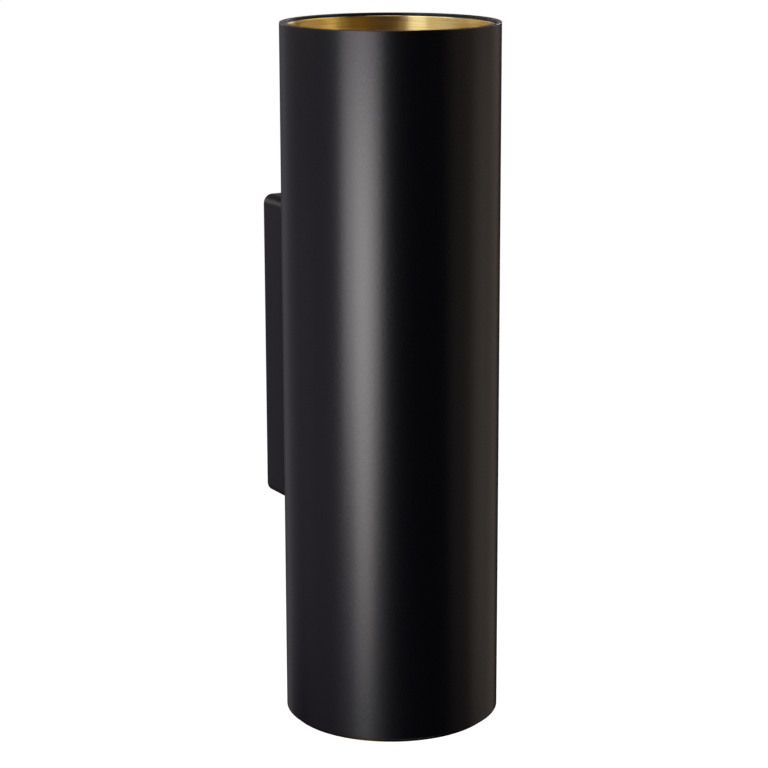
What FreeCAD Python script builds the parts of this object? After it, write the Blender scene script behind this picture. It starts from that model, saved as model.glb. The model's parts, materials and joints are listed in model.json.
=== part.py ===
import FreeCAD, Part
import math
import os
import re

import Sketcher
from FreeCAD import Placement, Rotation, Vector

# A wall light: a tube open at both ends, lined with brass, on a shallow box that is screwed to the wall.
# Lengths are in millimetres. X runs across the wall, Z up, and the wall is the plane Y = 0, with the
# light in front of it at negative Y. The origin is the middle of the wall box's back.
SIZES = {
    # outer tube
    "tube_diameter": 100,
    "tube_wall": 2,
    "tube_length": 323,
    "tube_drop": 2,  # middle of the tube below the middle of the box
    "tube_rim_round": 0.4,
    # brass tube lying in it
    "liner_clearance": 0.4,
    "liner_wall": 1,
    "liner_length": 323.8,
    "liner_drop": 2.1,  # its lower edge shows below the outer tube by this
    "liner_rim_round": 0.25,
    # wall box
    "box_width": 55,
    "box_height": 147,
    "box_depth": 24,
    "box_wall": 1.6,
    "box_corner": 4.5,
    "box_front_round": 0.8,
    # bracket on the wall
    "bracket_width": 44,
    "bracket_wall": 1.5,
    "bracket_bend": 1,
    "ear_gap": 0.3,
    "ear_length": 13,
    "slot_spacing": 112,
    "slot_width": 5.2,
    "slot_length": 12,
    "hole_gap": 0.2,  # on the radius, where a screw or nipple passes through
    # screws that hold the box on the bracket's ears
    "box_screw_diameter": 4,
    "box_screw_length": 8,
    "box_screw_head": 7.4,
    "box_screw_head_height": 2.2,
    "box_screw_depth": 8,  # from the wall
    # grommet round the supply cable
    "cable_up": 36,
    "cable_bore": 9,
    "cable_hole": 15,
    "grommet_flange": 19,
    "grommet_lip": 2,
    # screw terminal
    "terminal_down": 34,
    "terminal_pitch": 8,
    "terminal_width": 26,
    "terminal_height": 20,
    "terminal_depth": 14,
    "terminal_bore": 6.4,
    "terminal_bore_out": 7.5,  # from the bracket to the bore
    "terminal_ear_span": 38,
    "terminal_ear_height": 9,
    "terminal_ear_thickness": 3,
    "terminal_ear_spacing": 32,
    "clamp_wall": 1,
    "clamp_length": 16,
    "clamp_screw_spacing": 9,
    "clamp_screw_diameter": 3,
    "clamp_screw_shaft": 4,
    "clamp_screw_sunk": 1.2,
    "terminal_screw_diameter": 3,
    "terminal_screw_head": 5.6,
    "terminal_screw_head_height": 1.9,
    # earthing
    "earth_up": 16,
    "earth_screw_diameter": 4,
    "earth_screw_head": 7,
    "earth_screw_head_height": 2.4,
    "earth_washer_diameter": 8,
    "earth_washer_thickness": 0.8,
    "lug_diameter": 8,
    "lug_thickness": 0.8,
    "lug_barrel_diameter": 3.2,
    "lug_barrel_length": 6,
    "lug_neck": 1.5,
    # hollow nipple, its nuts and washers
    "nipple_diameter": 10,
    "nipple_bore": 8,
    "nipple_end": 1.5,
    "nipple_nut_flats": 14,
    "nipple_nut_height": 3,
    "nipple_washer_diameter": 18,
    "nipple_washer_thickness": 1,
    "bush_wall": 0.5,
    "bush_sleeve_length": 4,
    "bush_flange": 12,
    "bush_lip": 1.2,
    # screws that keep the tube from turning
    "fixing_spacing": 44,
    "fixing_diameter": 4,
    "fixing_length": 16,
    "fixing_head": 7.4,
    "fixing_head_height": 2.4,
    "fixing_nut_flats": 7,
    "fixing_nut_height": 3.2,
    # block and bracket inside the tube
    "saddle_thickness": 4,
    "carrier_width": 30,
    "carrier_wall": 2,
    "carrier_bend": 1,
    "carrier_reach": 20,  # past the lamps' axis
    "carrier_end_round": 9,
    "shelf_spacing": 70,
    "shelf_window": 16,
    # lampholders
    "holder_width": 22,
    "holder_length": 36,
    "holder_corner": 8,
    "holder_base": 6,
    "holder_drum": 23,
    "holder_height": 14,
    "holder_floor": 3,
    "holder_top": 3,
    "holder_cavity": 19,
    "holder_lead_hole": 2.2,
    "holder_screw_spacing": 29,
    "holder_screw_diameter": 3,
    "holder_screw_length": 10,
    "holder_screw_head": 5.6,
    "holder_screw_head_height": 1.9,
    "contact_width": 3,
    "contact_thickness": 0.6,
    "contact_rise": 4.6,
    "contact_length": 9.2,
    "contact_leaf": 3.2,  # past the pin's middle
    # lamps
    "pin_spacing": 10,
    "pin_neck": 3.2,
    "pin_neck_length": 3.6,
    "pin_head": 5,
    "pin_head_length": 2.4,
    "pin_gap": 0.35,
    "twist": 22,
    "lamp_gap": 0.3,
    "lamp_base": 26,
    "lamp_base_height": 7,
    "lamp_shoulder_diameter": 32,
    "lamp_shoulder_height": 12,
    "lamp_rim": 50,
    "lamp_rim_height": 5,
    "lamp_height": 47,
    "lamp_lens": 45,
    "lamp_lens_sunk": 0.8,
    "lamp_lens_thickness": 2.2,
    # leads
    "lead_diameter": 1.9,
    "lead_bend": 5,
    "lead_bend_wide": 12,
    "lead_offset": 1.5,
    "lead_end": 4,  # from the terminal's middle
}

TUBE_AXIS = "(box_depth + tube_diameter / 2)"
LINER_AXIS = "(box_depth + tube_diameter / 2 - liner_clearance)"
LINER_DROP = "(tube_drop + liner_drop - (liner_length - tube_length) / 2)"
LINER_RADIUS = "(tube_diameter / 2 - tube_wall - liner_clearance)"
LINER_DIAMETER = f"2 * {LINER_RADIUS}"
SADDLE_BACK = "(box_depth + tube_wall + liner_wall)"
WEB_BACK = "(box_depth + tube_wall + liner_wall + saddle_thickness)"
WEB_FRONT = "(box_depth + tube_wall + liner_wall + saddle_thickness + carrier_wall)"
BOX_FRONT_INSIDE = "(box_depth - box_wall)"
EAR_OUT = "(box_height / 2 - box_wall - ear_gap)"
HALF_FIXING = "fixing_spacing / 2"
HALF_SHELVES = "shelf_spacing / 2"
BORE_OUT = "(bracket_wall + terminal_bore_out)"
NIPPLE_BACK = "(box_depth - box_wall - nipple_washer_thickness - nipple_nut_height - nipple_end)"
NIPPLE_FRONT = f"({WEB_FRONT} + nipple_washer_thickness + nipple_nut_height + nipple_end)"
LAMP_SEAT = "(shelf_spacing / 2 + holder_height + lamp_gap)"

ACROSS = Vector(1, 0, 0)
OUT = Vector(0, -1, 0)
UP = Vector(0, 0, 1)
UPRIGHT = Rotation()
UPSIDE_DOWN = Rotation(Vector(0, 1, 0), 180)
ON_WALL = Rotation(ACROSS, 90)  # X across, Y up and Z out from the wall
INTO_WALL = Rotation(ACROSS, -90)
LYING = Rotation(ACROSS, 90)  # turns a rod of a piece on the wall upright

doc = FreeCAD.newDocument("tube_wall_light")
sheet = doc.addObject("Spreadsheet::Sheet", "Sizes")
pieces = []


def fill_sheet():
    for row, (name, number) in enumerate(SIZES.items(), start=1):
        sheet.set(f"A{row}", name)
        sheet.set(f"B{row}", str(number))
        sheet.setAlias(f"B{row}", name)
    doc.recompute()


def size(name):
    return float(sheet.get(name))


def formula(text):
    """Turns the names of sizes into cells of the sheet."""

    def cell(word):
        name = word.group()
        return f"Sizes.{name}" if name in SIZES else name

    return re.sub(r"[a-z][a-z_]+", cell, text)


def bind(thing, **formulas):
    for name, text in formulas.items():
        thing.setExpression(name.replace("__", "."), formula(text))
    return thing


def place(thing, turn=UPRIGHT, x="0", y="0", z="0"):
    thing.Placement = Placement(Vector(0, 0, 0), turn)
    return bind(thing, Placement__Base__x=x, Placement__Base__y=y, Placement__Base__z=z)


def piece(thing, label):
    thing.Label = label
    pieces.append(thing)
    return thing


def either_side(distance, middle="0"):
    return [f"{middle} + ({distance})", f"{middle} - ({distance})"]


# Solids from primitives


def cylinder(diameter, height, x="0", y="0", z="0", turn=UPRIGHT):
    rod = bind(doc.addObject("Part::Cylinder", "rod"), Radius=f"({diameter}) / 2", Height=height)
    return place(rod, turn, x, y, z)


def block(width, depth, height, x="0", y="0", z="0"):
    """A block centred across and along, standing on z."""
    solid = bind(doc.addObject("Part::Box", "block"), Length=width, Width=depth, Height=height)
    return place(solid, x=f"{x} - ({width}) / 2", y=f"{y} - ({depth}) / 2", z=z)


def hexagon(flats, height, x="0", y="0", z="0"):
    prism = doc.addObject("Part::Prism", "hexagon")
    prism.Polygon = 6
    bind(prism, Circumradius=f"({flats}) / sqrt(3)", Height=height)
    return place(prism, x=x, y=y, z=z)


def cut(base, *tools):
    for tool in tools:
        base, solid = doc.addObject("Part::Cut", "cut"), base
        base.Base = solid
        base.Tool = tool
    return base


def fuse(*solids):
    whole = doc.addObject("Part::MultiFuse", "whole")
    whole.Shapes = list(solids)
    return whole


def common(*solids):
    shared = doc.addObject("Part::MultiCommon", "shared")
    shared.Shapes = list(solids)
    return shared


def group(*solids):
    together = doc.addObject("Part::Compound", "together")
    together.Links = list(solids)
    return together


def ring(outer, inner, height, x="0", y="0", z="0"):
    return cut(cylinder(outer, height, x, y, z), cylinder(inner, height, x, y, z))


def screw(diameter, length, head, head_height, slotted=False):
    """Head up, with the head's underside at z = 0."""
    solid = fuse(cylinder(diameter, length, z=f"-({length})"), cylinder(head, head_height))
    if slotted:
        return cut(solid, block(head, f"({head}) / 7", head_height, z=f"({head_height}) / 2"))
    return cut(solid, hexagon(f"({head}) / 2.6", head_height, z=f"({head_height}) / 3"))


# Solids from sketches


def new_body(label):
    return doc.addObject("PartDesign::Body", label)


def drawing(body, plane):
    sketch = body.newObject("Sketcher::SketchObject", "outline")
    support = next(feature for feature in body.Origin.OriginFeatures if feature.Role == plane)
    sketch.AttachmentSupport = [(support, "")]
    sketch.MapMode = "FlatFace"
    return sketch


def dimension(sketch, text, kind, *where):
    index = sketch.addConstraint(Sketcher.Constraint(kind, *where, 1.0))
    sketch.setExpression(f"Constraints[{index}]", formula(text))


def pin_point(sketch, edge, end, x, y):
    dimension(sketch, x, "DistanceX", -1, 1, edge, end)
    dimension(sketch, y, "DistanceY", -1, 1, edge, end)


def add_circle(sketch, diameter, x="0", y="0"):
    edge = sketch.addGeometry(Part.Circle(Vector(0, 0, 0), Vector(0, 0, 1), 1))
    dimension(sketch, f"({diameter}) / 2", "Radius", edge)
    pin_point(sketch, edge, 3, x, y)


def add_outline(sketch, corners):
    """A closed outline of straight sides, each corner held at its (x, y)."""
    first = len(sketch.Geometry)
    count = len(corners)
    turn = 2 * math.pi / count
    guide = [Vector(math.cos(turn * i), math.sin(turn * i), 0) for i in range(count)]
    for i in range(count):
        sketch.addGeometry(Part.LineSegment(guide[i], guide[(i + 1) % count]))
    for i in range(count):
        sketch.addConstraint(Sketcher.Constraint("Coincident", first + i, 2, first + (i + 1) % count, 1))
    for i, (x, y) in enumerate(corners):
        pin_point(sketch, first + i, 1, x, y)


def add_rectangle(sketch, width, height, x="0", y="0"):
    left, right = f"{x} - ({width}) / 2", f"{x} + ({width}) / 2"
    low, high = f"{y} - ({height}) / 2", f"{y} + ({height}) / 2"
    add_outline(sketch, [(left, low), (right, low), (right, high), (left, high)])


def pad(body, sketch, length, centred=False):
    feature = body.newObject("PartDesign::Pad", "pad")
    feature.Profile = sketch
    feature.Midplane = centred
    bind(feature, Length=length)
    doc.recompute()
    return feature


def pocket(body, sketch, length=None):
    """Cuts the sketch one way for a length, or else right through the body, both ways from its plane."""
    before = body.Shape.Volume
    feature = body.newObject("PartDesign::Pocket", "pocket")
    feature.Profile = sketch
    if length:
        bind(feature, Length=length)
    else:
        feature.Type = "ThroughAll"
        feature.Midplane = True
    doc.recompute()
    if feature.Shape.Volume > before - 0.01:
        raise RuntimeError(f"{body.Name}: a pocket cuts nothing")
    return feature


def revolved(label, corners):
    """A body turned about its Z axis from an outline of (radius, height) corners."""
    body = new_body(label)
    sketch = drawing(body, "XZ_Plane")
    add_outline(sketch, corners)
    feature = body.newObject("PartDesign::Revolution", "turned")
    feature.Profile = sketch
    feature.ReferenceAxis = (sketch, ["V_Axis"])
    feature.Angle = 360
    doc.recompute()
    return body


def edges_where(shape, test):
    return [f"Edge{i}" for i, edge in enumerate(shape.Edges, start=1) if test(edge)]


def round_edges(body, radius, test):
    base = body.Tip
    feature = body.newObject("PartDesign::Fillet", "rounding")
    feature.Base = (base, edges_where(base.Shape, test))
    bind(feature, Radius=radius)
    doc.recompute()
    return feature


def runs_along(edge, axis):
    first, last = edge.Vertexes[0].Point, edge.Vertexes[-1].Point
    along = last - first
    return along.Length > 0.01 and abs(along.normalize().dot(axis)) > 0.999


def lies_at(edge, axis, level):
    reach = edge.LastParameter - edge.FirstParameter
    places = [edge.valueAt(edge.FirstParameter + share * reach).dot(axis) for share in (0, 0.3, 0.7, 1)]
    return all(abs(place_along - level) < 0.001 for place_along in places)


# Outside


def make_tube(label, diameter, wall, length, rim_round, drop, axis):
    """An upright tube with the three holes in its back through which it is fixed."""
    body = new_body(label)
    sketch = drawing(body, "XY_Plane")
    add_circle(sketch, diameter)
    add_circle(sketch, f"{diameter} - 2 * {wall}")
    pad(body, sketch, length)
    top = size(length)
    round_edges(body, rim_round, lambda edge: lies_at(edge, UP, 0) or lies_at(edge, UP, top))
    middle = f"{length} / 2 + {drop}"
    holes = drawing(body, "XZ_Plane")
    add_circle(holes, "nipple_diameter + 2 * hole_gap", y=middle)
    for up in either_side(HALF_FIXING, middle):
        add_circle(holes, "fixing_diameter + 2 * hole_gap", y=up)
    pocket(body, holes, diameter)
    piece(place(body, y=f"-({axis})", z=f"-({middle})"), label)


def make_wall_box():
    body = new_body("wall_box")
    sketch = drawing(body, "XY_Plane")
    add_rectangle(sketch, "box_width", "box_height")
    pad(body, sketch, "box_depth")
    solid = round_edges(body, "box_corner", lambda edge: runs_along(edge, UP))
    back = [f"Face{i}" for i, face in enumerate(solid.Shape.Faces, start=1) if face.CenterOfMass.z < 0.001]
    shell = body.newObject("PartDesign::Thickness", "shell")
    shell.Base = (solid, back)
    shell.Reversed = True
    bind(shell, Value="box_wall")
    doc.recompute()
    front = size("box_depth")
    round_edges(body, "box_front_round", lambda edge: lies_at(edge, UP, front))
    holes = drawing(body, "XY_Plane")
    add_circle(holes, "nipple_diameter + 2 * hole_gap")
    for up in either_side(HALF_FIXING):
        add_circle(holes, "fixing_diameter + 2 * hole_gap", y=up)
    pocket(body, holes)
    ends = drawing(body, "XZ_Plane")
    add_circle(ends, "box_screw_diameter + 2 * hole_gap", y="box_screw_depth")
    pocket(body, ends)
    piece(place(body, ON_WALL), "wall_box")


def make_box_screws():
    """One through the top of the box and one through its bottom."""
    pair = []
    for turn, up in zip((UPRIGHT, UPSIDE_DOWN), either_side("box_height / 2")):
        one = screw("box_screw_diameter", "box_screw_length", "box_screw_head", "box_screw_head_height")
        pair.append(place(one, turn, y="-box_screw_depth", z=up))
    piece(group(*pair), "box_screws")


# In the wall box


def make_wall_bracket():
    body = new_body("wall_bracket")
    plate = drawing(body, "XY_Plane")
    add_rectangle(plate, "bracket_width", f"2 * {EAR_OUT}")
    pad(body, plate, "bracket_wall")
    ears = drawing(body, "XY_Plane")
    for up in either_side(f"{EAR_OUT} - bracket_wall / 2"):
        add_rectangle(ears, "bracket_width", "bracket_wall", y=up)
    pad(body, ears, "ear_length")
    inner, outer, wall = "bracket_bend", "bracket_bend + bracket_wall", size("bracket_wall")
    round_edges(body, inner, lambda edge: runs_along(edge, ACROSS) and lies_at(edge, UP, wall))
    round_edges(body, outer, lambda edge: runs_along(edge, ACROSS) and lies_at(edge, UP, 0))
    holes = drawing(body, "XY_Plane")
    add_circle(holes, "cable_hole", y="cable_up")
    add_circle(holes, "earth_screw_diameter", y="earth_up")
    for across in either_side("terminal_ear_spacing / 2"):
        add_circle(holes, "terminal_screw_diameter", x=across, y="-terminal_down")
    pocket(body, holes)
    half_slot = "(slot_length - slot_width) / 2"
    slots, tops, feet = drawing(body, "XY_Plane"), drawing(body, "XY_Plane"), drawing(body, "XY_Plane")
    for up in either_side("slot_spacing / 2"):
        add_rectangle(slots, "slot_width", f"2 * {half_slot}", y=up)
        add_circle(tops, "slot_width", y=f"{up} + {half_slot}")
        add_circle(feet, "slot_width", y=f"{up} - {half_slot}")
    for outline in (slots, tops, feet):
        pocket(body, outline)
    threads = drawing(body, "XZ_Plane")
    add_circle(threads, "box_screw_diameter", y="box_screw_depth")
    pocket(body, threads)
    piece(place(body, ON_WALL), "wall_bracket")


def make_grommet():
    bore, neck, flange = "cable_bore / 2", "cable_hole / 2", "grommet_flange / 2"
    front = "bracket_wall + grommet_lip"
    outline = [(bore, "0"), (neck, "0"), (neck, "bracket_wall"), (flange, "bracket_wall"), (flange, front)]
    body = revolved("cable_grommet", [*outline, (bore, front)])
    piece(place(body, ON_WALL, z="cable_up"), "cable_grommet")


def terminal_poles():
    return ["-terminal_pitch", "0", "terminal_pitch"]


def make_terminal_block():
    solid = fuse(block("terminal_width", "terminal_height", "terminal_depth"),
                 block("terminal_ear_span", "terminal_ear_height", "terminal_ear_thickness"))
    tools = []
    shaft = "terminal_depth - terminal_bore_out"
    for pole in terminal_poles():
        top = "terminal_height / 2"
        tools.append(cylinder("terminal_bore", "terminal_height", pole, top, "terminal_bore_out", LYING))
        for row in either_side("clamp_screw_spacing / 2"):
            tools.append(cylinder("clamp_screw_shaft", shaft, pole, row, "terminal_bore_out"))
    for across in either_side("terminal_ear_spacing / 2"):
        tools.append(cylinder("terminal_screw_diameter + hole_gap", "terminal_ear_thickness", across))
    solid = place(cut(solid, fuse(*tools)), ON_WALL, y="-bracket_wall", z="-terminal_down")
    piece(solid, "terminal_block")


def make_terminal_clamps():
    clamps = []
    top = "clamp_length / 2"
    for pole in terminal_poles():
        outside = cylinder("terminal_bore", "clamp_length", pole, top, turn=LYING)
        inside = cylinder("terminal_bore - 2 * clamp_wall", "clamp_length", pole, top, turn=LYING)
        rows = either_side("clamp_screw_spacing / 2")
        threads = [cylinder("clamp_screw_diameter", "terminal_bore", pole, row) for row in rows]
        clamps.append(cut(outside, inside, *threads))
    piece(place(group(*clamps), ON_WALL, y=f"-{BORE_OUT}", z="-terminal_down"), "terminal_clamps")


def make_terminal_screws():
    foot = "(terminal_bore / 2 - clamp_wall)"
    top = "(terminal_depth - terminal_bore_out - clamp_screw_sunk)"
    deep = "clamp_screw_diameter / 4"
    screws = []
    for pole in terminal_poles():
        for row in either_side("clamp_screw_spacing / 2"):
            rod = cylinder("clamp_screw_diameter", f"{top} - {foot}", pole, row, foot)
            slot = block("clamp_screw_diameter", "clamp_screw_diameter / 5", deep, pole, row, f"{top} - {deep}")
            screws.append(cut(rod, slot))
    piece(place(group(*screws), ON_WALL, y=f"-{BORE_OUT}", z="-terminal_down"), "terminal_screws")


def make_terminal_block_screws():
    pair = []
    through = "(bracket_wall + terminal_ear_thickness)"
    for across in either_side("terminal_ear_spacing / 2"):
        one = screw("terminal_screw_diameter", through, "terminal_screw_head", "terminal_screw_head_height")
        pair.append(place(one, ON_WALL, x=across, y=f"-{through}", z="-terminal_down"))
    piece(group(*pair), "terminal_block_screws")


def make_earthing():
    """The lug lies on the bracket, the washer on it, and the screw goes through both."""
    washer_out = "bracket_wall + lug_thickness"
    head_out = f"{washer_out} + earth_washer_thickness"
    hole = "earth_screw_diameter + 2 * hole_gap"
    washer = ring("earth_washer_diameter", hole, "earth_washer_thickness")
    piece(place(washer, ON_WALL, y=f"-({washer_out})", z="earth_up"), "earth_washer")
    bolt = screw("earth_screw_diameter", head_out, "earth_screw_head", "earth_screw_head_height")
    piece(place(bolt, ON_WALL, y=f"-({head_out})", z="earth_up"), "earth_screw")
    top = "(lug_diameter / 2 + lug_neck)"
    middle = "lug_barrel_diameter / 2"
    eye = cylinder("lug_diameter", "lug_thickness")
    tongue = block("lug_barrel_diameter", top, "lug_thickness", y=f"-{top} / 2 - lug_neck")
    barrel = cylinder("lug_barrel_diameter", "lug_barrel_length", "0", f"-{top}", middle, LYING)
    bore = cylinder("lead_diameter", "lug_barrel_length + lug_neck", "0", f"-{top} + lug_neck", middle, LYING)
    solid = cut(fuse(eye, tongue, barrel), bore, cylinder(hole, "lug_thickness"))
    piece(place(solid, ON_WALL, y="-bracket_wall", z="earth_up"), "earth_lug")


# Between box and tube


def make_nipple():
    tube = ring("nipple_diameter", "nipple_bore", f"{NIPPLE_FRONT} - {NIPPLE_BACK}")
    piece(place(tube, ON_WALL, y=f"-{NIPPLE_BACK}"), "mounting_nipple")


def make_nipple_nuts():
    box_washer = f"{BOX_FRONT_INSIDE} - nipple_washer_thickness"
    box_nut = f"{box_washer} - nipple_nut_height"
    tube_nut = f"{WEB_FRONT} + nipple_washer_thickness"
    for label, out in (("box_lock_washer", box_washer), ("tube_lock_washer", WEB_FRONT)):
        washer = ring("nipple_washer_diameter", "nipple_diameter + 2 * hole_gap", "nipple_washer_thickness")
        piece(place(washer, ON_WALL, y=f"-({out})"), label)
    for label, out in (("box_nut", box_nut), ("tube_nut", tube_nut)):
        thread = cylinder("nipple_diameter", "nipple_nut_height")
        nut = cut(hexagon("nipple_nut_flats", "nipple_nut_height"), thread)
        piece(place(nut, ON_WALL, y=f"-({out})"), label)


def make_bushes():
    """A plastic bush in each end of the nipple."""
    inside, sleeve, flange = "nipple_bore / 2 - bush_wall", "nipple_bore / 2", "bush_flange / 2"
    inner, whole = "bush_sleeve_length", "bush_sleeve_length + bush_lip"
    outline = [(inside, "0"), (sleeve, "0"), (sleeve, inner), (flange, inner), (flange, whole)]
    ends = (INTO_WALL, f"{NIPPLE_BACK} + {inner}"), (ON_WALL, f"{NIPPLE_FRONT} - {inner}")
    pair = [place(revolved("bush", [*outline, (inside, whole)]), turn, y=f"-({out})") for turn, out in ends]
    piece(group(*pair), "nipple_bushes")


def make_fixing_screws():
    screws = []
    nuts = []
    for up in either_side(HALF_FIXING):
        one = screw("fixing_diameter", "fixing_length", "fixing_head", "fixing_head_height")
        screws.append(place(one, INTO_WALL, y=f"-{BOX_FRONT_INSIDE}", z=up))
        thread = cylinder("fixing_diameter", "fixing_nut_height")
        nut = cut(hexagon("fixing_nut_flats", "fixing_nut_height"), thread)
        nuts.append(place(nut, ON_WALL, y=f"-{WEB_FRONT}", z=up))
    piece(group(*screws), "fixing_screws")
    piece(group(*nuts), "fixing_nuts")


# In the tube


def make_saddle():
    """Curved to the liner on one side and flat for the lamp bracket on the other."""
    foot = f"-{HALF_SHELVES}"
    round_side = cylinder(f"2 * ({LINER_RADIUS} - liner_wall)", "shelf_spacing", y=f"-{LINER_AXIS}", z=foot)
    slab_middle = f"saddle_thickness - {WEB_BACK}"
    slab = block("carrier_width", "2 * saddle_thickness", "shelf_spacing", y=slab_middle, z=foot)
    start, through = f"saddle_thickness - {SADDLE_BACK}", "4 * saddle_thickness"
    holes = [cylinder("nipple_diameter + 2 * hole_gap", through, y=start, turn=ON_WALL)]
    for up in either_side(HALF_FIXING):
        holes.append(cylinder("fixing_diameter + 2 * hole_gap", through, "0", start, up, ON_WALL))
    piece(cut(common(round_side, slab), *holes), "inner_saddle")


def make_lamp_bracket():
    """A web on the saddle, and a shelf at each end of it, folded from one strip."""
    body = new_body("lamp_bracket")
    back, web, tip = f"-{WEB_BACK}", f"-{WEB_FRONT}", f"-({TUBE_AXIS} + carrier_reach)"
    top, under = HALF_SHELVES, f"{HALF_SHELVES} - carrier_wall"
    side = drawing(body, "YZ_Plane")
    upper_half = [(back, top), (tip, top), (tip, under), (web, under)]
    lower_half = [(y, f"-({z})") for y, z in reversed(upper_half)]
    add_outline(side, upper_half + lower_half)
    pad(body, side, "carrier_width", centred=True)
    web_back = size("box_depth") + size("tube_wall") + size("liner_wall") + size("saddle_thickness")
    web_front = web_back + size("carrier_wall")
    tip_out = size("box_depth") + size("tube_diameter") / 2 + size("carrier_reach")
    inner, outer = "carrier_bend", "carrier_bend + carrier_wall"
    round_edges(body, inner, lambda edge: runs_along(edge, ACROSS) and lies_at(edge, OUT, web_front))
    round_edges(body, outer, lambda edge: runs_along(edge, ACROSS) and lies_at(edge, OUT, web_back))
    round_edges(body, "carrier_end_round", lambda edge: runs_along(edge, UP) and lies_at(edge, OUT, tip_out))
    shelves = drawing(body, "XY_Plane")
    add_circle(shelves, "shelf_window", y=f"-{TUBE_AXIS}")
    for along in either_side("holder_screw_spacing / 2", f"-{TUBE_AXIS}"):
        add_circle(shelves, "holder_screw_diameter", y=along)
    pocket(body, shelves)
    holes = drawing(body, "XZ_Plane")
    add_circle(holes, "nipple_diameter + 2 * hole_gap")
    for up in either_side(HALF_FIXING):
        add_circle(holes, "fixing_diameter + 2 * hole_gap", y=up)
    pocket(body, holes)
    piece(body, "lamp_bracket")


def on_shelf(solid, side, height=HALF_SHELVES):
    """Stands a solid on the upper shelf, or hangs it under the lower one."""
    turn = UPRIGHT if side == "upper" else UPSIDE_DOWN
    sign = "" if side == "upper" else "-"
    return place(solid, turn, y=f"-{TUBE_AXIS}", z=f"{sign}({height})")


def keyhole(half_turn):
    """Room for one pin: a slot about the lamp's axis, wide enough for the pin's head at its open end."""
    from_top = "holder_height - holder_top"
    neck = "(pin_neck + 2 * pin_gap)"
    outer = bind(cylinder(f"pin_spacing + {neck}", "holder_top", z=from_top), Angle="twist")
    inner = cylinder(f"pin_spacing - {neck}", "holder_top", z=from_top)
    locked = cylinder(neck, "holder_top", x="pin_spacing / 2", z=from_top)
    across, along = "pin_spacing / 2 * cos(1 deg * twist)", "pin_spacing / 2 * sin(1 deg * twist)"
    entry = cylinder("pin_head + 2 * pin_gap", "holder_top", across, along, from_top)
    return place(fuse(cut(outer, inner), locked, entry), Rotation(UP, half_turn))


def make_lampholder(side):
    base = new_body("base")
    outline = drawing(base, "XY_Plane")
    add_rectangle(outline, "holder_width", "holder_length")
    pad(base, outline, "holder_base")
    round_edges(base, "holder_corner", lambda edge: runs_along(edge, UP))
    cavity = cylinder("holder_cavity", "holder_height - holder_floor - holder_top", z="holder_floor")
    tools = [cavity, keyhole(0), keyhole(180)]
    for across in either_side("pin_spacing / 2"):
        tools.append(cylinder("holder_lead_hole", "holder_floor", across))
    for along in either_side("holder_screw_spacing / 2"):
        tools.append(cylinder("holder_screw_diameter + hole_gap", "holder_base", y=along))
    solid = cut(fuse(base, cylinder("holder_drum", "holder_height")), fuse(*tools))
    piece(on_shelf(solid, side), f"lampholder_{side}")


def make_contacts(side):
    """A spring strip under each pin: foot on the floor, riser at one end, leaf under the pin."""
    strips = []
    end = "contact_length / 2"
    leaf_length = "(contact_length / 2 + contact_leaf)"
    leaf_up = "holder_floor + contact_rise - contact_thickness"
    for middle in either_side("pin_spacing / 2"):
        foot = block("contact_width", "contact_length", "contact_thickness", middle, "0", "holder_floor")
        riser_along = f"{end} - contact_thickness / 2"
        riser = block("contact_width", "contact_thickness", "contact_rise", middle, riser_along, "holder_floor")
        leaf_along = f"{end} - {leaf_length} / 2"
        leaf = block("contact_width", leaf_length, "contact_thickness", middle, leaf_along, leaf_up)
        strips.append(fuse(foot, riser, leaf))
    piece(on_shelf(group(*strips), side), f"holder_contacts_{side}")


def make_holder_screws(side):
    pair = []
    head, head_height = "holder_screw_head", "holder_screw_head_height"
    for along in either_side("holder_screw_spacing / 2"):
        one = screw("holder_screw_diameter", "holder_screw_length", head, head_height)
        pair.append(place(one, y=along, z="holder_base"))
    piece(on_shelf(group(*pair), side), f"holder_screws_{side}")


def make_lamp(side):
    rim_foot = "lamp_height - lamp_rim_height"
    seat = "lamp_height - lamp_lens_sunk - lamp_lens_thickness"
    base = [("0", "0"), ("lamp_base / 2", "0"), ("lamp_base / 2", "lamp_base_height")]
    cone = [("lamp_shoulder_diameter / 2", "lamp_shoulder_height"), ("lamp_rim / 2", rim_foot)]
    rim = [("lamp_rim / 2", "lamp_height"), ("lamp_lens / 2", "lamp_height")]
    recess = [("lamp_lens / 2", seat), ("0", seat)]
    piece(on_shelf(revolved("lamp_body", base + cone + rim + recess), side, LAMP_SEAT), f"lamp_body_{side}")
    lens = cylinder("lamp_lens", "lamp_lens_thickness", z=seat)
    piece(on_shelf(group(lens), side, LAMP_SEAT), f"lamp_lens_{side}")
    pins = []
    for across in either_side("pin_spacing / 2"):
        neck = cylinder("pin_neck", "pin_neck_length", across, z="-pin_neck_length")
        head = cylinder("pin_head", "pin_head_length", across, z="-(pin_neck_length + pin_head_length)")
        pins.append(fuse(neck, head))
    piece(on_shelf(group(*pins), side, LAMP_SEAT), f"lamp_pins_{side}")


# Leads


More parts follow.
